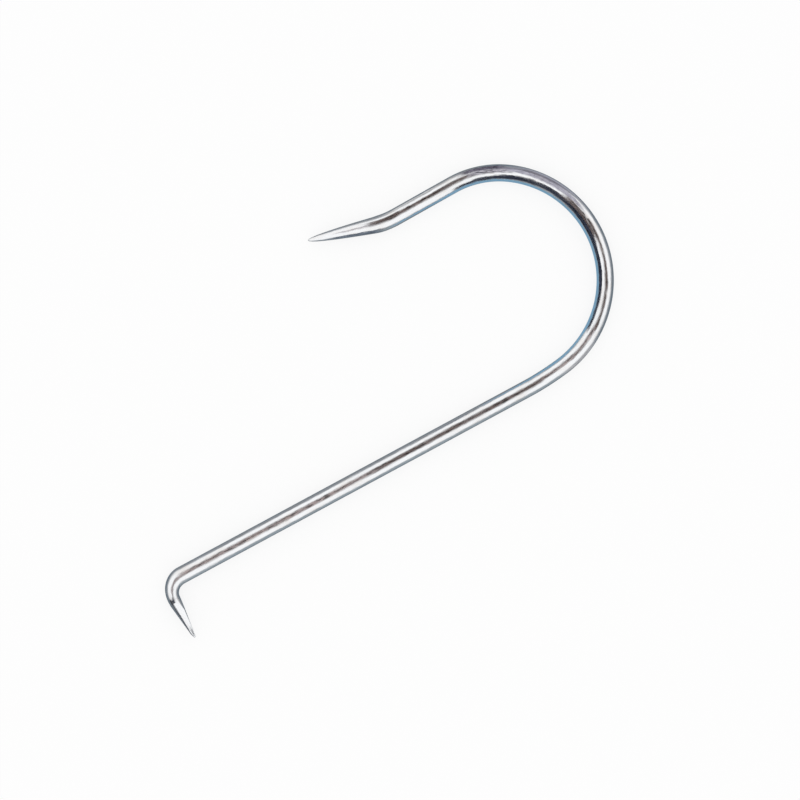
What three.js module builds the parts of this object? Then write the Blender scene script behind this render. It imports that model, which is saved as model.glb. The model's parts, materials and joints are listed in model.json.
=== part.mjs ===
import * as THREE from 'three';

// A bare gaff hook, made the way a smith makes it: one round stainless bar, bent in a single plane.
// One end is ground to a slim round point. The other end is turned square to the shank, which narrows it in
// the plane of the bend, and ground to a four-sided spike, which is driven into a pole before the shank is
// bound along its side.
// It lies flat on its side, with the shank along X, the mouth of the hook towards +Y and the table at z = 0.
// Lengths are in millimetres and angles in degrees.

// Diameter of the bar along its whole length, and its width in the plane of the bends at the root of the
// tang. Its thickness, square to that plane, stays the bar's until the flats start.
const BAR_DIAMETER = 8;
const TANG_WIDTH = 6;

// Route of the bar's centre line, from the end of the spike to the tip of the point.
// The big bend opens gently out of the shank, holds one radius, and closes a little tighter into the arm.
const TANG_RUN = 20;
const ELBOW_RADIUS = 8.3;
const ELBOW_ANGLE = 90;
const SHANK_RUN = 181;
const LEAD_RADIUS = 137;
const LEAD_ANGLE = 8.3;
const BEND_RADIUS = 49.7;
const BEND_ANGLE = 138;
const CLOSE_RADIUS = 44;
const CLOSE_ANGLE = 34.7;
const ARM_RUN = 30;
const REVERSE_RADIUS = 39;
const REVERSE_ANGLE = 16.5;
const POINT_RUN = 31;

// The round point is a paraboloid, from its tip back to where the bar is whole again
const POINT_TAPER = 34;

// The ground flats of the spike, each measured from the end back to where it runs out on the round tang,
// and the half sizes that they leave at the end. A short bevel takes the outer corner off the end.
const INNER_FLAT = 20;
const OUTER_FLAT = 18;
const BROAD_FLAT = 18.4;
const END_HALF_WIDTH = 0.6;
const END_HALF_THICKNESS = 0.5;
const END_BEVEL = 2;
const END_BEVEL_DEPTH = 0.5;

// How finely the surface is divided. The number of sides is four times an odd number, so that one side
// faces straight up, down, in and out, and the spike's corners fall on corners of the section.
const SIDES = 28;
const DEGREES_PER_RING = 6;
const POINT_RINGS = 12;
const SPIKE_RINGS = 10;
const LEAST_RING_GAP = 0.15;

const barRadius = BAR_DIAMETER / 2;
const tangHalfWidth = TANG_WIDTH / 2;
const radians = THREE.MathUtils.degToRad;

// A stretch is a straight run or an arc. A positive turn goes left, towards the mouth of the hook.
function straight(run) {
  return { length: run, turn: 0 };
}

function arc(radius, degrees) {
  const turn = radians(degrees);
  return { length: radius * Math.abs(turn), turn };
}

const tang = straight(TANG_RUN);
const elbow = arc(ELBOW_RADIUS, -ELBOW_ANGLE);
const route = [
  tang,
  elbow,
  straight(SHANK_RUN),
  arc(LEAD_RADIUS, LEAD_ANGLE),
  arc(BEND_RADIUS, BEND_ANGLE),
  arc(CLOSE_RADIUS, CLOSE_ANGLE),
  straight(ARM_RUN),
  arc(REVERSE_RADIUS, -REVERSE_ANGLE),
  straight(POINT_RUN),
];
const routeLength = route.reduce((sum, stretch) => sum + stretch.length, 0);

// Moves along one stretch from a place on the centre line, and returns the place that it reaches
function advance(place, stretch, distance) {
  const { x, y, heading } = place;
  if (stretch.turn === 0) {
    return { x: x + distance * Math.cos(heading), y: y + distance * Math.sin(heading), heading };
  }
  const radius = stretch.length / stretch.turn;
  const turned = heading + distance / radius;
  return {
    x: x + radius * (Math.sin(turned) - Math.sin(heading)),
    y: y - radius * (Math.cos(turned) - Math.cos(heading)),
    heading: turned,
  };
}

// The place on the centre line at a distance from the end of the spike. The first heading is the one that
// lays the shank along X once the elbow has turned.
function placeAt(distance) {
  let place = { x: 0, y: 0, heading: -elbow.turn };
  let left = distance;
  for (const stretch of route) {
    if (left <= stretch.length) {
      return advance(place, stretch, left);
    }
    place = advance(place, stretch, stretch.length);
    left -= stretch.length;
  }
  return place;
}

// Share of the bar's radius that is left at the point, which shrinks as a paraboloid
function pointShare(distance) {
  const fromTip = routeLength - distance;
  return Math.sqrt(Math.min(1, fromTip / POINT_TAPER));
}

// Half the bar's width in the plane of the bends: narrow along the tang, growing round the elbow
function halfWidth(distance) {
  const roundElbow = THREE.MathUtils.smoothstep(distance, tang.length, tang.length + elbow.length);
  return THREE.MathUtils.lerp(tangHalfWidth, barRadius, roundElbow) * pointShare(distance);
}

function halfThickness(distance) {
  return barRadius * pointShare(distance);
}

// Half size that a flat leaves at a distance from the spike's end, growing to the whole bar at its run-out
function flatDepth(distance, endHalfSize, wholeHalfSize, flatLength) {
  return endHalfSize + (wholeHalfSize - endHalfSize) * (distance / flatLength);
}

function bevelDepth(distance) {
  const start = flatDepth(END_BEVEL, END_HALF_WIDTH, tangHalfWidth, OUTER_FLAT);
  const end = END_HALF_WIDTH - END_BEVEL_DEPTH;
  return end + (start - end) * (distance / END_BEVEL);
}

// How far the metal reaches from the centre line, at an angle round the bar: 0 is to the left of the
// heading and a quarter turn is straight up. The sides of the section touch the bar from outside.
function reach(distance, angle) {
  const across = Math.cos(angle);
  const up = Math.abs(Math.sin(angle));
  const oval = 1 / Math.hypot(across / halfWidth(distance), up / halfThickness(distance));
  const whole = oval / Math.cos(Math.PI / SIDES);
  if (distance > tang.length) {
    return whole;
  }
  const straightOuter = flatDepth(distance, END_HALF_WIDTH, tangHalfWidth, OUTER_FLAT);
  const outer = Math.min(straightOuter, bevelDepth(distance));
  const inner = flatDepth(distance, END_HALF_WIDTH, tangHalfWidth, INNER_FLAT);
  const broad = flatDepth(distance, END_HALF_THICKNESS, barRadius, BROAD_FLAT);
  const side = across > 0 ? outer : inner;
  return Math.min(whole, side / Math.abs(across), broad / up);
}

// Distances of the rings of the surface, closer together where the bar bends or its section changes
function ringDistances() {
  const distances = [];
  let start = 0;
  for (const stretch of route) {
    const steps = Math.max(1, Math.ceil(Math.abs(stretch.turn) / radians(DEGREES_PER_RING)));
    for (let step = 0; step < steps; step += 1) {
      distances.push(start + (stretch.length * step) / steps);
    }
    start += stretch.length;
  }
  for (let ring = 1; ring < SPIKE_RINGS; ring += 1) {
    distances.push((tang.length * ring) / SPIKE_RINGS);
  }
  distances.push(END_BEVEL);
  for (let ring = 1; ring <= POINT_RINGS; ring += 1) {
    distances.push(routeLength - POINT_TAPER * (ring / POINT_RINGS) ** 2);
  }
  distances.sort((a, b) => a - b);
  return distances.filter((distance, i) => i === 0 || distance - distances[i - 1] > LEAST_RING_GAP);
}

// Joins the rings into one closed skin, with the spike's small flat end and the tip of the point as caps
function barGeometry() {
  const distances = ringDistances();
  const positions = [];
  for (const distance of distances) {
    const { x, y, heading } = placeAt(distance);
    for (let side = 0; side < SIDES; side += 1) {
      const angle = ((side + 0.5) * 2 * Math.PI) / SIDES;
      const out = reach(distance, angle);
      const left = out * Math.cos(angle);
      positions.push(x - left * Math.sin(heading), y + left * Math.cos(heading), out * Math.sin(angle));
    }
  }
  const spikeEnd = positions.length / 3;
  const tip = spikeEnd + 1;
  for (const distance of [0, routeLength]) {
    const { x, y } = placeAt(distance);
    positions.push(x, y, 0);
  }

  const faces = [];
  const lastRing = (distances.length - 1) * SIDES;
  for (let side = 0; side < SIDES; side += 1) {
    const next = (side + 1) % SIDES;
    for (let ring = 0; ring < lastRing; ring += SIDES) {
      faces.push(ring + side, ring + next, ring + SIDES + next);
      faces.push(ring + side, ring + SIDES + next, ring + SIDES + side);
    }
    faces.push(spikeEnd, next, side);
    faces.push(tip, lastRing + side, lastRing + next);
  }

  const geometry = new THREE.BufferGeometry();
  geometry.setAttribute('position', new THREE.Float32BufferAttribute(positions, 3));
  geometry.setIndex(faces);
  geometry.computeVertexNormals();
  return geometry;
}

// Lays the hook on the table with the middle of its outline at the origin
function gaffHook() {
  const steel = new THREE.MeshStandardMaterial({ color: 0xb4b8bd, metalness: 1, roughness: 0.18 });
  const hook = new THREE.Mesh(barGeometry(), steel);
  hook.name = 'gaff_hook';
  hook.geometry.computeBoundingBox();
  const box = hook.geometry.boundingBox;
  const middle = box.getCenter(new THREE.Vector3());
  hook.position.set(-middle.x, -middle.y, -box.min.z);
  return hook;
}

const part = new THREE.Group();
part.add(gaffHook());

export default part;
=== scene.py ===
# %% [markdown]
# # A bare gaff hook in polished steel
#
# The object is one round stainless bar. One end is ground to a slim round point, the middle is bent to a
# wide open hook with a long straight shank, and the other end is turned square and ground to a four-sided
# spike that is driven into a pole.
#
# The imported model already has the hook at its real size. This lesson models the same bar again with a much
# finer surface, gives it a polished finish, and lights it the way polished metal is lit for a picture.
# Every length is in metres.

# %% Load the frame
import json
import math

import bmesh
import bpy
from mathutils import Matrix, Vector


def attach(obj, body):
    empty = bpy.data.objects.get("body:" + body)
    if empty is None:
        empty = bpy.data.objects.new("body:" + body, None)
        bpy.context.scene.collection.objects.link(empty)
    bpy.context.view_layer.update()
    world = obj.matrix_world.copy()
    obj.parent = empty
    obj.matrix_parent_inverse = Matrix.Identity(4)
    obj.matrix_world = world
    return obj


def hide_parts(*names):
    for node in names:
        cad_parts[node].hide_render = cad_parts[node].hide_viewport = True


MM = 0.001

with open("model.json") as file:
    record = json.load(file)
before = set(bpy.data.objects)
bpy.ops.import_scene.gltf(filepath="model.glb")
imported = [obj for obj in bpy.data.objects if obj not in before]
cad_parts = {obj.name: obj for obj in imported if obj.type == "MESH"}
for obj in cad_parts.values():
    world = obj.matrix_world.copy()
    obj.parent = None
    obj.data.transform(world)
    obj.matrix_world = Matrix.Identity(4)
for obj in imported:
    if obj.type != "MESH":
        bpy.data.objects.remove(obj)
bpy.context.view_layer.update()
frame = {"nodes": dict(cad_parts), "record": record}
print("packed nodes:", sorted(frame["nodes"]))

# %% [markdown]
# ## The bar's route
#
# A smith bends this hook from a straight bar, over one former after another. So the route is a list of
# stretches: a stretch is a straight run, or an arc with a radius and an angle. A curve object with a round
# bevel could make the same bar, but its section could not change from round to four-sided on the way.
# A list of stretches also keeps the radii that a real former would have.

# %% Sizes of the bar
BAR_RADIUS = 4 * MM
TANG_HALF_WIDTH = 3 * MM


def straight(run):
    return {"length": run, "turn": 0.0}


def arc(radius, degrees):
    turn = math.radians(degrees)
    return {"length": radius * abs(turn), "turn": turn}


TANG = straight(20 * MM)
ELBOW = arc(8.3 * MM, -90)
SHANK = straight(181 * MM)
BEND = [arc(137 * MM, 8.3), arc(49.7 * MM, 138), arc(44 * MM, 34.7)]
ARM = straight(30 * MM)
REVERSE = arc(39 * MM, -16.5)
POINT = straight(31 * MM)
ROUTE = [TANG, ELBOW, SHANK, *BEND, ARM, REVERSE, POINT]
ROUTE_LENGTH = sum(stretch["length"] for stretch in ROUTE)
print("the bar is", round(ROUTE_LENGTH / MM, 1), "mm long before it is bent")

# %% [markdown]
# ## Where the bar is
#
# place_at walks along the route and returns a matrix: its X axis points along the bar, its Y axis points to
# the left of it, which is the mouth's side in the big bend, and its Z axis points up. The walk starts at the
# end of the spike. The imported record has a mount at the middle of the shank's underside, so that point fixes
# where the walk starts.

# %% Walk along the route
def step_along(stretch, distance):
    if stretch["turn"] == 0.0:
        return Matrix.Translation((distance, 0, 0))
    radius = stretch["length"] / stretch["turn"]
    centre = Matrix.Translation((0, radius, 0))
    return centre @ Matrix.Rotation(distance / radius, 4, "Z") @ centre.inverted()


def walk(start, distance):
    place = start.copy()
    for stretch in ROUTE:
        step = min(distance, stretch["length"])
        place = place @ step_along(stretch, step)
        distance -= step
        if distance <= 0:
            break
    return place


SHANK_MIDDLE = TANG["length"] + ELBOW["length"] + SHANK["length"] / 2
mounts = {mount["name"]: Vector(mount["pos_m"]) for mount in frame["record"]["mounts"]}
shank_middle = mounts["rest_face"] + Vector((0, 0, BAR_RADIUS))
walk_start = Matrix.Translation(shank_middle) @ walk(Matrix.Identity(4), SHANK_MIDDLE).inverted()


def place_at(distance):
    return walk(walk_start, distance)


print("end of the spike:", [round(c / MM, 2) for c in place_at(0).translation])
print("tip of the point:", [round(c / MM, 2) for c in place_at(ROUTE_LENGTH).translation])

# %% [markdown]
# ## How finely the surface is divided
#
# A mirror-bright bar shows every corner of its mesh, so the rings stand close where the bar bends and where
# its section changes, and far apart on the straight shank. The round point is a paraboloid: its radius
# grows with the square root of the distance from the tip, so the rings there close up with the square.

# %% Distances of the rings
SIDES = 96
SPIKE_GAP = 0.25 * MM
BEND_GAP = 1.0 * MM
STRAIGHT_GAP = 4.0 * MM
LEAST_GAP = 0.004 * MM
POINT_TAPER = 34 * MM
POINT_RINGS = 64


def ring_distances():
    distances = [0.0]
    for stretch in ROUTE:
        widest = STRAIGHT_GAP if stretch["turn"] == 0.0 else BEND_GAP
        if stretch in (TANG, ELBOW):
            widest = SPIKE_GAP
        count = math.ceil(stretch["length"] / widest)
        start = distances[-1]
        distances += [start + stretch["length"] * (ring + 1) / count for ring in range(count)]
    end = distances[-1]
    distances += [end - POINT_TAPER * (ring / POINT_RINGS) ** 2 for ring in range(1, POINT_RINGS + 1)]
    distances.sort()
    kept = distances[:1]
    for distance in distances[1:]:
        if distance - kept[-1] > LEAST_GAP:
            kept.append(distance)
    return kept


DISTANCES = ring_distances()
print("rings:", len(DISTANCES))

# %% [markdown]
# ## Bend a plain round bar
#
# The bar starts as one circle at the end of the spike. Each step extrudes the open edge of the bar and
# carries the new ring to its place on the route, which is what a modeller calls lofting.
# Each vertex also remembers where it was on the straight bar, before bending, in an attribute of its own.
# The finish reads that attribute later, so that its lines follow the bar round every bend.

# %% The plain bent bar
FACING_ALONG = Matrix.Rotation(math.radians(90), 4, "Y")


def new_parts(grown, kind):
    return [part for part in grown if isinstance(part, kind)]


def bend_plain_bar(bar):
    straight_bar = bar.verts.layers.float_vector.new("straight_bar")
    facing = place_at(0) @ FACING_ALONG
    first = bmesh.ops.create_circle(bar, segments=SIDES, radius=BAR_RADIUS, matrix=facing)["verts"]
    to_section = place_at(0).inverted()
    for vert in first:
        vert[straight_bar] = to_section @ vert.co
    rings = [first]
    open_edges = list(bar.edges)
    for start, end in zip(DISTANCES, DISTANCES[1:]):
        grown = bmesh.ops.extrude_edge_only(bar, edges=open_edges)["geom"]
        ring = new_parts(grown, bmesh.types.BMVert)
        move = place_at(end) @ place_at(start).inverted()
        bmesh.ops.transform(bar, matrix=move, verts=ring)
        for vert in ring:
            vert[straight_bar] = Vector((end, *vert[straight_bar].yz))
        members = set(ring)
        new_edges = new_parts(grown, bmesh.types.BMEdge)
        open_edges = [edge for edge in new_edges if members.issuperset(edge.verts)]
        rings.append(ring)
    return rings


bar = bmesh.new()
rings = bend_plain_bar(bar)
print("plain bar:", len(bar.verts), "vertices,", len(bar.faces), "faces")

# %% [markdown]
# ## Narrow the elbow and taper the point
#
# Both are scalings of the rings about their own centres. A bar that is bent as tightly as this elbow loses
# width in the plane of the bend, from 8 to 6 mm, and keeps its thickness. At the other end the rings shrink
# to nothing, and the last one is merged into a single closed tip.

# %% Tapers of the bar
TIP_MERGE = 0.001 * MM


def eased(share):
    share = min(1.0, max(0.0, share))
    return share * share * (3 - 2 * share)


def point_share(distance):
    return math.sqrt(min(1.0, max(0.0, ROUTE_LENGTH - distance) / POINT_TAPER))


def half_width(distance):
    round_elbow = eased((distance - TANG["length"]) / ELBOW["length"])
    return (TANG_HALF_WIDTH + (BAR_RADIUS - TANG_HALF_WIDTH) * round_elbow) * point_share(distance)


def half_thickness(distance):
    return BAR_RADIUS * point_share(distance)


for distance, ring in zip(DISTANCES, rings):
    across = half_width(distance) / BAR_RADIUS
    over = half_thickness(distance) / BAR_RADIUS
    if across < 1.0:
        bmesh.ops.scale(bar, vec=(1, across, over), space=place_at(distance).inverted(), verts=ring)
bmesh.ops.remove_doubles(bar, verts=rings[-1], dist=TIP_MERGE)
print("after the tapers:", len(bar.verts), "vertices")

# %% [markdown]
# ## Grind the spike
#
# The spike is flat above, below and on the pole's side. Its far side keeps the round of the bar, and a short
# bevel takes that corner off the end. Slicing with bisect_plane would leave knife-sharp corners, which
# polishing has eased on the real spike. So each vertex of the tang is drawn in towards the centre line
# instead, onto a section that is nearly square on the pole's side and rounded on the far side. The power of
# a side says how square it is: 2 is an ellipse, and a high power is nearly a rectangle.

# %% Flats of the spike
INNER_FLAT = 20 * MM
OUTER_FLAT = 18 * MM
BROAD_FLAT = 18.4 * MM
END_HALF_WIDTH = 0.6 * MM
END_HALF_THICKNESS = 0.5 * MM
END_BEVEL = 2 * MM
END_BEVEL_DEPTH = 0.5 * MM
POLE_SIDE_POWER = 12
FAR_SIDE_POWER = 2


def flat_depth(distance, end_half_size, whole_half_size, flat_length):
    return end_half_size + (whole_half_size - end_half_size) * distance / flat_length


def bevel_depth(distance):
    start = flat_depth(END_BEVEL, END_HALF_WIDTH, TANG_HALF_WIDTH, OUTER_FLAT)
    end = END_HALF_WIDTH - END_BEVEL_DEPTH
    return end + (start - end) * distance / END_BEVEL


def ground_reach(distance, left, up):
    """How far the ground section lets the metal reach from the centre line, towards (left, up)."""
    length = math.hypot(left, up)
    broad = flat_depth(distance, END_HALF_THICKNESS, BAR_RADIUS, BROAD_FLAT)
    if left > 0:
        power = FAR_SIDE_POWER
        flat = flat_depth(distance, END_HALF_WIDTH, TANG_HALF_WIDTH, OUTER_FLAT)
        side = min(flat, bevel_depth(distance))
    else:
        power = POLE_SIDE_POWER
        side = flat_depth(distance, END_HALF_WIDTH, TANG_HALF_WIDTH, INNER_FLAT)
    total = abs(left / length / side) ** power + abs(up / length / broad) ** power
    return total ** (-1 / power)


def oval_reach(distance, left, up):
    return math.hypot(left, up) / math.hypot(left / half_width(distance), up / half_thickness(distance))


def grind_spike(bar, rings):
    straight_bar = bar.verts.layers.float_vector["straight_bar"]
    for distance, ring in zip(DISTANCES, rings):
        if distance > TANG["length"]:
            break
        place = place_at(distance)
        for vert in ring:
            _, left, up = vert[straight_bar]
            reach = min(ground_reach(distance, left, up), oval_reach(distance, left, up))
            outwards = Vector((0, left, up)).normalized()
            vert.co = place @ (outwards * reach)


grind_spike(bar, rings)
end_edges = [edge for edge in bar.edges if edge.is_boundary]
bmesh.ops.holes_fill(bar, edges=end_edges)
bmesh.ops.recalc_face_normals(bar, faces=bar.faces)
print("open edges left:", sum(edge.is_boundary for edge in bar.edges))

# %% [markdown]
# ## Make it an object
#
# The finished surface becomes one object. It stands for the imported hook and rides on the imported body.
# All its faces are smooth, apart from the small blunt end of the spike.
# The finer bends would reach a twentieth of a millimetre outside the imported ones, so the bar is first drawn
# in by that much.

# %% The hook's bar
OUTLINE_FIT = 0.9996
QUAD_CORNERS = 4

bmesh.ops.scale(bar, vec=(OUTLINE_FIT, OUTLINE_FIT, 1), verts=bar.verts)
for face in bar.faces:
    face.smooth = len(face.verts) <= QUAD_CORNERS
hook_mesh = bpy.data.meshes.new("hook_bar")
bar.to_mesh(hook_mesh)
print("volume in cubic mm:", round(bar.calc_volume() / MM**3))
bar.free()
hook_bar = bpy.data.objects.new("hook_bar", hook_mesh)
bpy.context.scene.collection.objects.link(hook_bar)
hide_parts("gaff_hook")
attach(hook_bar, "root")
print("faces:", len(hook_mesh.polygons))

# %% [markdown]
# ## Small helpers for materials
#
# A material here is a tree of nodes. These helpers add one node at a time and join it to what feeds it, so
# that each recipe below reads from top to bottom.

# %% Node helpers
def new_material(name):
    material = bpy.data.materials.new(name)
    material.use_nodes = True
    return material, material.node_tree


def feed(tree, socket, value):
    """Gives an input a value, or joins it to another node's output."""
    if isinstance(value, bpy.types.NodeSocket):
        tree.links.new(value, socket)
    else:
        socket.default_value = value


def add(tree, kind, inputs=None, **settings):
    """Adds a node, sets its own settings, and feeds its inputs."""
    made = tree.nodes.new(kind)
    for name, value in settings.items():
        setattr(made, name, value)
    for name, value in (inputs or {}).items():
        feed(tree, made.inputs[name], value)
    return made


def math_node(tree, operation, first, second):
    return add(tree, "ShaderNodeMath", {0: first, 1: second}, operation=operation).outputs[0]


def remap(tree, value, from_low, from_high, to_low, to_high):
    """Turns one range of values into another, and eases into both of its ends."""
    mapped = add(
        tree,
        "ShaderNodeMapRange",
        {"Value": value, "From Min": from_low, "From Max": from_high, "To Min": to_low, "To Max": to_high},
        interpolation_type="SMOOTHSTEP",
    )
    return mapped.outputs["Result"]


def blend(tree, share, first, second):
    """Mixes two colours: the first where share is 0, the second where it is 1."""
    mixed = add(tree, "ShaderNodeMix", {0: share}, data_type="RGBA")
    mixed.inputs["A"].default_value = (*first, 1)
    mixed.inputs["B"].default_value = (*second, 1)
    return mixed.outputs["Result"]


# %% [markdown]
# ## Patterns in the steel
#
# Drawn bar has fine lines along its length, left by the die. A belt polishes them almost away, in long
# shallow facets, which make the mirrored lines swim, and it leaves some stretches brighter than others. The
# point and the spike are ground after bending, so their marks run across. Handling adds a few hairline
# scratches and tiny nicks, and a faint warm film in patches.
# All of it is noise read at each vertex's place on the straight bar, so that nothing slides in the bends.

# %% Patterns of the steel
# Each row: cycles to the metre along the bar and across it, finer layers, and the share that each adds
PATTERNS = {
    "facets": (30, 330, 1.0, 0.5),
    "flutter": (260, 520, 2.0, 0.5),
    "draw_lines": (45, 2400, 3.0, 0.5),
    "hairlines": (22, 5200, 1.0, 0.5),
    "cross_marks": (5200, 340, 2.0, 0.5),
    "brightness": (70, 160, 2.0, 0.6),
    "film": (95, 330, 3.0, 0.6),
}
NICK_SIZE = 0.35 * MM
NICK_SPACING = 5.5 * MM
SPIKE_FADE = 2 * MM
POINT_FADE = 12 * MM


def stretched_noise(tree, place, along, across, layers, layer_share):
    mapped = add(tree, "ShaderNodeMapping", {"Vector": place, "Scale": (along, across, across)})
    noise = add(
        tree,
        "ShaderNodeTexNoise",
        {"Vector": mapped.outputs["Vector"], "Scale": 1.0, "Detail": layers, "Roughness": layer_share},
    )
    return noise.outputs["Fac"]


def nicks(tree, place):
    """0 in a few tiny pits, 1 everywhere else."""
    cells = add(tree, "ShaderNodeTexVoronoi", {"Vector": place, "Scale": 1 / NICK_SPACING})
    return remap(tree, cells.outputs["Distance"], 0.0, NICK_SIZE / NICK_SPACING, 0.0, 1.0)


def ground_share(tree, along):
    """1 on the ground spike and point, 0 on the polished bar between them."""
    point_start = ROUTE_LENGTH - POINT_TAPER
    spike = remap(tree, along, INNER_FLAT - SPIKE_FADE, INNER_FLAT, 1.0, 0.0)
    point = remap(tree, along, point_start, point_start + POINT_FADE, 0.0, 1.0)
    return math_node(tree, "MAXIMUM", spike, point)


print("patterns in the steel:", ", ".join(PATTERNS))

# %% [markdown]
# ## Polished steel
#
# The steel's own colour is pale and even, and the film warms it a little. Roughness says how far a mirrored
# line is blurred: more on the ground ends, and a little more or less in patches and along the draw lines.
# The bumps are laid over each other, from the widest to the finest. Their depths are real ones, and the
# hairlines' is negative, because a scratch goes in.

# %% The steel's finish
STEEL = (0.74, 0.75, 0.765)
WARM_STEEL = (0.68, 0.655, 0.635)
FILM_EDGES = (0.45, 0.75)
MOST_FILM = 0.8
HAIRLINE_EDGES = (0.66, 0.74)
POLISHED_ROUGHNESS = 0.175
GROUND_ROUGHNESS = 0.23
PATCH_EDGES = (0.3, 0.7)
PATCH_ROUGHNESS = (-0.06, 0.08)
LINE_EDGES = (0.35, 0.65)
LINE_ROUGHNESS = (-0.02, 0.03)
BUMP_DEPTHS = {
    "facets": 0.13 * MM,
    "flutter": 0.11 * MM,
    "draw_lines": 0.010 * MM,
    "hairlines": -0.004 * MM,
    "nicks": 0.05 * MM,
    "cross_marks": 0.005 * MM,
}


def roughness(tree, noise, ground):
    base = remap(tree, ground, 0.0, 1.0, POLISHED_ROUGHNESS, GROUND_ROUGHNESS)
    patches = remap(tree, noise["brightness"], *PATCH_EDGES, *PATCH_ROUGHNESS)
    lines = remap(tree, noise["draw_lines"], *LINE_EDGES, *LINE_ROUGHNESS)
    return math_node(tree, "ADD", math_node(tree, "ADD", base, patches), lines)


def bumps(tree, heights):
    inputs = {"Strength": 1.0}
    for name, depth in BUMP_DEPTHS.items():
        bump = add(tree, "ShaderNodeBump", {**inputs, "Height": heights[name], "Distance": depth})
        inputs["Normal"] = bump.outputs["Normal"]
    return inputs["Normal"]


def polished_steel():
    material, tree = new_material("polished_steel")
    shader = tree.nodes["Principled BSDF"]
    place = add(tree, "ShaderNodeAttribute", attribute_name="straight_bar").outputs["Vector"]
    along = add(tree, "ShaderNodeSeparateXYZ", {"Vector": place}).outputs["X"]
    ground = ground_share(tree, along)
    noise = {name: stretched_noise(tree, place, *row) for name, row in PATTERNS.items()}
    heights = {
        **noise,
        "hairlines": remap(tree, noise["hairlines"], *HAIRLINE_EDGES, 0.0, 1.0),
        "nicks": nicks(tree, place),
        "cross_marks": math_node(tree, "MULTIPLY", noise["cross_marks"], ground),
    }
    warm = remap(tree, noise["film"], *FILM_EDGES, 0.0, MOST_FILM)
    feed(tree, shader.inputs["Base Color"], blend(tree, warm, STEEL, WARM_STEEL))
    feed(tree, shader.inputs["Roughness"], roughness(tree, noise, ground))
    feed(tree, shader.inputs["Normal"], bumps(tree, heights))
    shader.inputs["Metallic"].default_value = 1.0
    return material


hook_bar.data.materials.append(polished_steel())
print("material nodes:", len(hook_bar.data.materials[0].node_tree.nodes))

# %% [markdown]
# ## Camera
#
# The hook is looked at square from above, with a long lens. The picture is turned, so that the shank climbs
# from the lower left to the upper right. The distance follows from the lens and from the width of the view.

# %% The camera
PICTURE_TURN = math.radians(28.35)
PICTURE_WIDTH = 370 * MM
PICTURE_CENTRE = Vector((9.48 * MM, -16.99 * MM, BAR_RADIUS))
LENS = 300.0
SENSOR = 36.0

camera_data = bpy.data.cameras.new("camera")
camera_data.lens = LENS
camera_data.sensor_width = SENSOR
camera_distance = PICTURE_WIDTH * LENS / SENSOR
camera = bpy.data.objects.new("camera", camera_data)
camera.location = PICTURE_CENTRE + Vector((0, 0, camera_distance))
camera.rotation_euler = (0, 0, -PICTURE_TURN)
bpy.context.scene.collection.objects.link(camera)
bpy.context.scene.camera = camera
print("camera height in m:", round(camera.location.z, 3))

# %% [markdown]
# ## Stage
#
# Polished steel has no look of its own: it shows what stands round it. So it is lit inside a white tent, as
# such things are in a studio, with dark and tinted cards that draw the lines on the bar. Only mirrored rays
# see the tent and the cards. The floor is lit by a plain white sky of strength 1, and so would a matt piece
# be.

# %% Stage objects
CARD_SIDES = 64
ONLY_MIRRORED = ("visible_camera", "visible_diffuse", "visible_shadow", "visible_transmission")


def stage_object(name, shape, material, hidden=()):
    mesh = bpy.data.meshes.new(name)
    shape.to_mesh(mesh)
    shape.free()
    mesh.materials.append(material)
    made = bpy.data.objects.new(name, mesh)
    bpy.context.scene.collection.objects.link(made)
    for ray in hidden:
        setattr(made, ray, False)
    return made


def disc(radius, segments):
    shape = bmesh.new()
    bmesh.ops.create_circle(shape, cap_ends=True, segments=segments, radius=radius)
    return shape


def square_sheet():
    shape = bmesh.new()
    bmesh.ops.create_grid(shape, x_segments=1, y_segments=1, size=1.0)
    return shape


# %% [markdown]
# ## Glowing cards
#
# A card gives a plain glow, which fades away towards its edge, because things out of focus have soft edges.
# The soft share is how much of the half size fades. A round card has one colour. A square card is mottled in
# two colours, since the line that it draws on a hand-polished bar is streaky, and it has a soft share for
# its ends and one for its sides.

# %% Soft glows
MOTTLE_EDGES = (0.44, 0.56)


def bare_material(name):
    material, tree = new_material(name)
    tree.nodes.remove(tree.nodes["Principled BSDF"])
    return material, tree


def glow(tree, colour, clear):
    """Light of a colour, with nothing where clear is 1."""
    light = add(tree, "ShaderNodeEmission", {"Color": colour, "Strength": 1.0})
    nothing = add(tree, "ShaderNodeBsdfTransparent")
    mixed = add(tree, "ShaderNodeMixShader", {0: clear, 1: light.outputs[0], 2: nothing.outputs[0]})
    tree.links.new(mixed.outputs["Shader"], tree.nodes["Material Output"].inputs["Surface"])


def round_glow(name, colour, soft):
    material, tree = bare_material(name)
    place = add(tree, "ShaderNodeTexCoord").outputs["Object"]
    radius = add(tree, "ShaderNodeVectorMath", {0: place}, operation="LENGTH").outputs["Value"]
    glow(tree, (*colour, 1), remap(tree, radius, 1 - soft, 1.0, 0.0, 1.0))
    return material


def square_glow(name, colours, half_size, soft, mottles):
    """mottles is how many there are to the metre."""
    material, tree = bare_material(name)
    place = add(tree, "ShaderNodeTexCoord").outputs["Object"]
    size = add(tree, "ShaderNodeVectorMath", {0: place}, operation="ABSOLUTE").outputs["Vector"]
    sides = add(tree, "ShaderNodeSeparateXYZ", {"Vector": size}).outputs
    clear_x = remap(tree, sides["X"], 1 - soft[0], 1.0, 0.0, 1.0)
    clear_y = remap(tree, sides["Y"], 1 - soft[1], 1.0, 0.0, 1.0)
    metres = add(tree, "ShaderNodeVectorMath", {0: place, 1: (*half_size, 0)}, operation="MULTIPLY")
    noise = add(tree, "ShaderNodeTexNoise", {"Vector": metres.outputs["Vector"], "Scale": mottles})
    share = remap(tree, noise.outputs["Fac"], *MOTTLE_EDGES, 0.0, 1.0)
    glow(tree, blend(tree, share, *colours), math_node(tree, "MAXIMUM", clear_x, clear_y))
    return material


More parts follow.
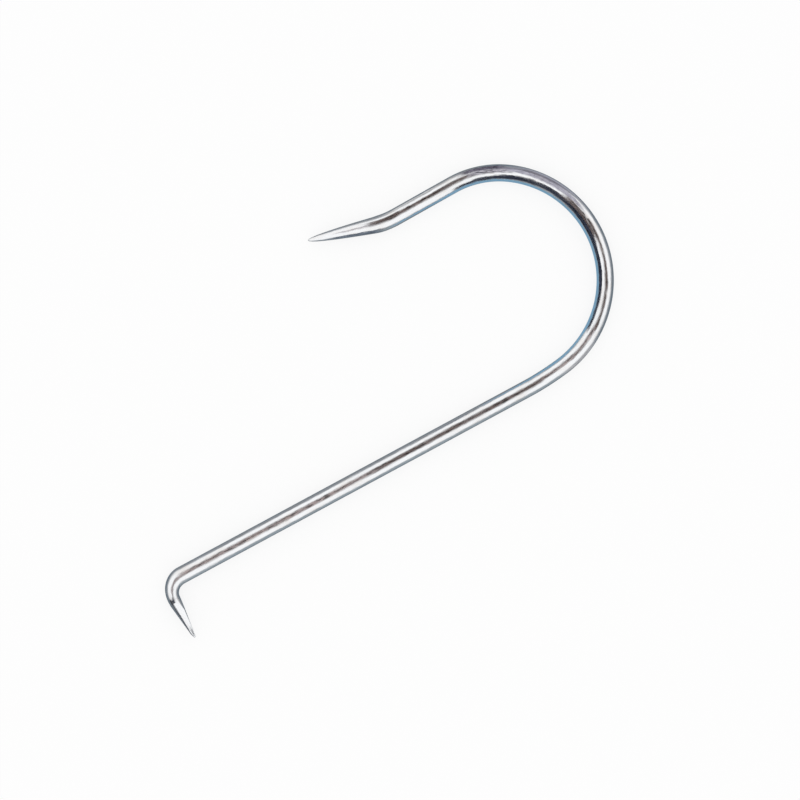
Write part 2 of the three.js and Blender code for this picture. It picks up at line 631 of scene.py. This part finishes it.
# %% [markdown]
# ## Tent and far cards
#
# The tent is white overhead, darkens towards the table's horizon and is dark and bluish below it. The bar's
# edges mirror that dark lower half, because they would melt into a white table. A far card's place is a
# direction from the hook: the azimuth turns left from the picture's right-hand side, and off_zenith is the
# angle down from straight overhead. Its half sizes are angles too, across and along the tent's wall. One
# card tints the top of the bend, and the other three brighten the bar's edges.

# %% The tent
TENT_RADIUS = 8.0
TENT_SEGMENTS = 64
# Angle down from straight overhead, and the colour there
TENT_COLOURS = [
    (180, (0.17, 0.21, 0.245)),
    (135, (0.20, 0.24, 0.28)),
    (115, (0.22, 0.255, 0.29)),
    (100, (0.29, 0.315, 0.345)),
    (90, (0.43, 0.45, 0.47)),
    (80, (0.68, 0.69, 0.71)),
    (70, (1.02, 1.03, 1.04)),
    (62, (1.25, 1.25, 1.25)),
]


def tent_glow():
    material, tree = bare_material("tent")
    place = add(tree, "ShaderNodeTexCoord").outputs["Object"]
    height = add(tree, "ShaderNodeSeparateXYZ", {"Vector": place}).outputs["Z"]
    share = remap(tree, height, -TENT_RADIUS, TENT_RADIUS, 0.0, 1.0)
    ramp = add(tree, "ShaderNodeValToRGB", {"Fac": share})
    stops = ramp.color_ramp.elements
    while len(stops) < len(TENT_COLOURS):
        stops.new(0.5)
    for stop, (off_zenith, colour) in zip(stops, TENT_COLOURS):
        stop.position = (1 + math.cos(math.radians(off_zenith))) / 2
        stop.color = (*colour, 1)
    light = add(tree, "ShaderNodeEmission", {"Color": ramp.outputs["Color"], "Strength": 1.0})
    tree.links.new(light.outputs["Emission"], tree.nodes["Material Output"].inputs["Surface"])
    return material


tent = bmesh.new()
bmesh.ops.create_uvsphere(tent, u_segments=TENT_SEGMENTS, v_segments=TENT_SEGMENTS // 2, radius=TENT_RADIUS)
bmesh.ops.reverse_faces(tent, faces=tent.faces)
stage_object("tent", tent, tent_glow(), ONLY_MIRRORED)
print("tent radius in m:", TENT_RADIUS)

# %% The far cards
CARD_DISTANCE = 7.5
CARD_GAP = 0.2
# Each row: name, azimuth, off_zenith, half sizes, colour and soft share
FAR_CARDS = [
    ("lavender_card", 78, 66, 34, 54, (0.26, 0.255, 0.31), 0.25),
    ("lower_card", -62, 110, 38, 24, (0.36, 0.42, 0.46), 0.3),
    ("upper_card", 122, 112, 30, 22, (0.31, 0.33, 0.355), 0.3),
    ("top_edge_card", 60, 114, 24, 19, (0.45, 0.45, 0.53), 0.4),
]


def toward(azimuth, off_zenith):
    turned = math.radians(azimuth) - PICTURE_TURN
    tilt = math.radians(off_zenith)
    return Vector((math.sin(tilt) * math.cos(turned), math.sin(tilt) * math.sin(turned), math.cos(tilt)))


def far_card(distance, name, azimuth, off_zenith, half_across, half_high, colour, soft):
    direction = toward(azimuth, off_zenith)
    across = distance * math.tan(math.radians(half_across))
    high = distance * math.tan(math.radians(half_high))
    made = stage_object(name, disc(1.0, CARD_SIDES), round_glow(name, colour, soft), ONLY_MIRRORED)
    facing = (-direction).to_track_quat("Z", "Y").to_matrix().to_4x4()
    size = Matrix.Diagonal((across, high, 1, 1))
    made.matrix_world = Matrix.Translation(direction * distance) @ facing @ size


for order, row in enumerate(FAR_CARDS):
    far_card(CARD_DISTANCE - CARD_GAP * order, *row)
print("far cards:", len(FAR_CARDS))

# %% [markdown]
# ## Near cards
#
# Most of the lines on the bar come from things close to it. A near card is placed along the bar: so far from
# the spike's end, so far to the left of the centre line, which is the inside of the big bend, and so high
# above it. It belongs to the stage, and no camera sees it. Each one lies a little higher than the last, so
# that no two share a plane.

# %% Near cards and their colours
CARD_STEP = 0.05 * MM
# The dark and the pale colour of the mottles
COLOURS = {
    "black": ((0.004, 0.008, 0.018), (0.050, 0.058, 0.092)),
    "slate": ((0.03, 0.032, 0.04), (0.13, 0.14, 0.16)),
    "slate blue": ((0.10, 0.12, 0.155), (0.22, 0.26, 0.32)),
    "dark brown": ((0.006, 0.006, 0.006), (0.24, 0.18, 0.17)),
    "brown": ((0.06, 0.055, 0.055), (0.54, 0.44, 0.43)),
    "pale brown": ((0.14, 0.12, 0.12), (0.54, 0.46, 0.45)),
    "purple": ((0.01, 0.01, 0.02), (0.26, 0.235, 0.31)),
    "plum": ((0.14, 0.135, 0.17), (0.32, 0.31, 0.37)),
    "mauve": ((0.03, 0.03, 0.05), (0.82, 0.78, 0.86)),
    "pale mauve": ((0.30, 0.28, 0.31), (0.95, 0.92, 0.96)),
    "lavender": ((0.28, 0.27, 0.33), (0.72, 0.70, 0.80)),
    "pale grey": ((0.42, 0.42, 0.44), (0.60, 0.60, 0.62)),
    "silver": ((0.52, 0.52, 0.52), (0.78, 0.78, 0.78)),
    "white": ((1.1, 1.1, 1.1), (1.1, 1.1, 1.1)),
}
near_cards = []


def near_stage(name, shape, material, place, half_size):
    made = stage_object(name, shape, material, ONLY_MIRRORED)
    made.matrix_world = place @ Matrix.Diagonal((half_size[0], half_size[1], 1, 1))
    near_cards.append(made)


def near_card(name, middle, half_size, colours, soft, mottles, standing=False):
    """half_size is along the bar and across it, or along it and upwards where the card stands."""
    along, beside, height = middle
    place = place_at(along) @ Matrix.Translation((0, beside, height + CARD_STEP * len(near_cards)))
    if standing:
        place = place @ Matrix.Rotation(math.radians(90), 4, "X")
    material = square_glow(name, COLOURS[colours], half_size, soft, mottles)
    near_stage(name, square_sheet(), material, place, half_size)


def in_metres(*lengths):
    return tuple(length * MM for length in lengths)


print("colours of the near cards:", len(COLOURS))

# %% [markdown]
# ## Cards over the bar
#
# Long narrow cards that hang over the bar draw the brown line along its middle. A card straight over the bar
# draws it in the very middle, and one that hangs a little to the left or right moves it to that side. The
# line lies off to the outside in the big bend, so the cards there hang outside it. Two angles say where a
# card hangs and how wide it looks, in degrees from straight overhead.

# %% Line cards
LINE_HEIGHT = 12 * MM
LINE_SOFT_SIDES = 0.8
LINE_CORE = 0.56
LINE_MOTTLES = 300
# Each row: name, middle and half length in mm, angle to its middle and half its spread, colours, soft ends
LINE_CARDS = [
    ("elbow_card", 27, 6.5, -3, 21, "pale brown", 0.35),
    ("shank_low_card", 84, 56, 7, 28.5, "brown", 0.13),
    ("shank_high_card", 178, 48, 7, 30, "dark brown", 0.14),
    ("lead_card", 231, 12, 17, 25, "brown", 0.3),
    ("bend_start_card", 248, 11, 4, 24, "brown", 0.3),
    ("bend_line_card_1", 265, 12, -16, 23, "dark brown", 0.3),
    ("bend_line_card_2", 284, 12, -19, 23, "dark brown", 0.3),
    ("bend_line_card_3", 302, 11, -19, 21, "dark brown", 0.3),
    ("bend_line_card_4", 318, 8, -10, 14, "dark brown", 0.3),
    ("arm_card", 387.5, 28.5, -26, 30, "dark brown", 0.2),
    ("arm_end_card", 417, 9, -36, 38, "dark brown", 0.3),
    ("point_line_card", 431, 14, -12, 14, "pale mauve", 0.4),
]


def line_card(name, along, half_along, inward, half_spread, colours, soft_ends):
    """The sides are so soft that only the core looks dark, so the card is wider than the line it draws."""
    beside = LINE_HEIGHT * math.tan(math.radians(inward))
    half_across = LINE_HEIGHT * math.tan(math.radians(half_spread)) / LINE_CORE
    middle = (along, beside, LINE_HEIGHT + BAR_RADIUS)
    soft = (soft_ends, LINE_SOFT_SIDES)
    near_card(name, middle, (half_along, half_across), colours, soft, LINE_MOTTLES)


for name, along, half_along, *look in LINE_CARDS:
    line_card(name, along * MM, half_along * MM, *look)
print("line cards:", len(LINE_CARDS))

# %% [markdown]
# ## Screens inside the bend
#
# Standing cards inside the bend draw the black line along the bar's inner side. The higher a screen is, the
# wider the line: it is widest at the top of the bend. Its highest angle is how near to straight overhead the
# screen's upper edge looks, from the place on the bar that mirrors it.

# %% Inner screens
SCREEN_DISTANCE = 12 * MM
SCREEN_HALF_LENGTH = 8 * MM
SCREEN_LOW = 1.5 * MM
SCREEN_SOFT = (0.3, 0.2)
MIRROR_HEIGHT = BAR_RADIUS / 2
# Each row: place along the bar in mm, and highest angle in degrees
SCREENS = [(264, 50), (278, 46), (292, 42), (306, 32), (320, 19), (334, 15), (348, 21), (361, 40), (371, 56)]

for along, highest in SCREENS:
    screen_high = MIRROR_HEIGHT + SCREEN_DISTANCE / math.tan(math.radians(highest))
    middle = (along * MM, SCREEN_DISTANCE, (screen_high + SCREEN_LOW) / 2)
    half_size = (SCREEN_HALF_LENGTH, (screen_high - SCREEN_LOW) / 2)
    near_card(f"inner_screen_{along}", middle, half_size, "black", SCREEN_SOFT, LINE_MOTTLES, standing=True)
print("inner screens:", len(SCREENS))

# %% [markdown]
# ## Cards for single places
#
# The rest of the cards draw what is seen in one place only. At the top of the bend the bar's outside mirrors
# a lavender card, and then a mottled purple patch of cards. Pale screens outside the arm and before the bend
# make the bar's edge thinner there. At the spike, a dark card draws the streak at its root, and screens draw
# its edges and those of the point.

# %% Cards for single places
# Each row: name, lying or standing, middle in mm (along the bar, to the left, above the centre line), half
# sizes in mm, colours, soft ends and sides, and mottles to the metre
PLACE_CARDS = [
    ("mottled_card", "lying", (313, 8, 18), (13, 9), "dark brown", (0.3, 0.4), 300),
    ("top_card", "lying", (335, -14, 14), (29, 13), "lavender", (0.3, 0.3), 280),
    ("top_screen", "standing", (335, -28, 6.5), (24, 8.5), "plum", (0.4, 0.3), 260),
    ("patch_card", "lying", (362, -9, 12), (13, 10.5), "mauve", (0.4, 0.3), 330),
    ("patch_screen", "standing", (365, -22, 6), (18, 14), "purple", (0.4, 0.3), 190),
    ("arm_screen", "standing", (393, -20, -0.5), (24, 6.5), "silver", (0.4, 0.3), 90),
    ("root_card", "lying", (19, 11, 12), (2.6, 12), "black", (0.3, 0.2), 150),
    ("bend_start_screen", "standing", (243, -20, -8), (20, 11), "pale grey", (0.7, 0.3), 90),
    ("spike_screen", "standing", (4, 20, 4), (20, 9), "slate", (0.16, 0.3), 150),
    ("point_screen", "standing", (431, 14, -1), (17, 8.5), "slate blue", (0.5, 0.3), 220),
    ("spike_end_card", "lying", (-1, 0, 8), (2.5, 3), "slate", (0.4, 0.4), 150),
    ("spike_inner_screen", "standing", (2.5, -6, 0), (7, 9), "white", (0.3, 0.2), 90),
]

for name, lie, middle, half_size, colours, soft, mottles in PLACE_CARDS:
    standing = lie == "standing"
    near_card(name, in_metres(*middle), in_metres(*half_size), colours, soft, mottles, standing)
print("near cards in all:", len(near_cards))

# %% [markdown]
# ## Table
#
# The floor that the camera sees is plain and pale, and keeps a faint shadow of the hook: most of its white
# is its own glow, and the rest is paint under the white sky. The glow is only for rays that look at the
# floor, straight, mirrored or through glass, so that it lights nothing. In this scene mirrored rays pass
# through the floor as well, down to the dark lower half of the tent.

# %% The floor
FLOOR_RADIUS = 2.5
FLOOR_SIDES = 96
FLOOR_PAINT = (0.92, 0.92, 0.92)
FLOOR_OWN_WHITE = 0.82
MATT_ROUGHNESS = 0.9


def floor_paint():
    material, tree = new_material("floor")
    shader = tree.nodes["Principled BSDF"]
    shader.inputs["Base Color"].default_value = (*FLOOR_PAINT, 1)
    shader.inputs["Roughness"].default_value = MATT_ROUGHNESS
    shader.inputs["Specular IOR Level"].default_value = 0.0
    rays = add(tree, "ShaderNodeLightPath").outputs
    mirrored = math_node(tree, "MAXIMUM", rays["Is Glossy Ray"], rays["Is Transmission Ray"])
    seen = math_node(tree, "MAXIMUM", rays["Is Camera Ray"], mirrored)
    share = math_node(tree, "MULTIPLY", seen, FLOOR_OWN_WHITE)
    white = add(tree, "ShaderNodeEmission", {"Color": (1, 1, 1, 1), "Strength": 1.0})
    paint = shader.outputs["BSDF"]
    mixed = add(tree, "ShaderNodeMixShader", {0: share, 1: paint, 2: white.outputs[0]})
    tree.links.new(mixed.outputs["Shader"], tree.nodes["Material Output"].inputs["Surface"])
    return material


stage_object("floor", disc(FLOOR_RADIUS, FLOOR_SIDES), floor_paint(), ("visible_glossy",))
print("floor radius in m:", FLOOR_RADIUS)

# %% [markdown]
# ## A blue sheet inside the bend
#
# The inside of the bend mirrors a pale blue sheet, which draws a blue line along the bar's inner edge. The
# sheet is round like the bend, and lies a little towards its crown, because the blue fades along the shank.

# %% The blue sheet
SHEET_BLUE = (0.24, 0.44, 0.61)
SHEET_SOFT = 0.12
SHEET_RADIUS = 45 * MM
SHEET_SHIFT = 6 * MM
SHEET_LIFT = 0.2 * MM

main_bend = BEND[1]
bend_start = SHANK_MIDDLE + SHANK["length"] / 2 + BEND[0]["length"]
bend_centre = place_at(bend_start) @ Vector((0, main_bend["length"] / main_bend["turn"], 0))
sheet_place = Matrix.Translation((bend_centre.x + SHEET_SHIFT, bend_centre.y, SHEET_LIFT))
sheet_glow = round_glow("blue_sheet", SHEET_BLUE, SHEET_SOFT)
near_stage("blue_sheet", disc(1.0, CARD_SIDES), sheet_glow, sheet_place, (SHEET_RADIUS, SHEET_RADIUS))
print("middle of the bend in mm:", [round(c / MM, 1) for c in bend_centre])

# %% [markdown]
# ## World and colour
#
# The world is a plain white sky of strength 1, so a matt piece renders in about its own colour. The Standard
# view transform shows each colour as it is written, with no film look over it.

# %% World and colour
world = bpy.data.worlds.new("studio")
bpy.context.scene.world = world
world.use_nodes = True
sky = world.node_tree.nodes["Background"]
sky.inputs["Color"].default_value = (1, 1, 1, 1)
sky.inputs["Strength"].default_value = 1.0
bpy.context.scene.view_settings.view_transform = "Standard"
print("view transform:", bpy.context.scene.view_settings.view_transform)
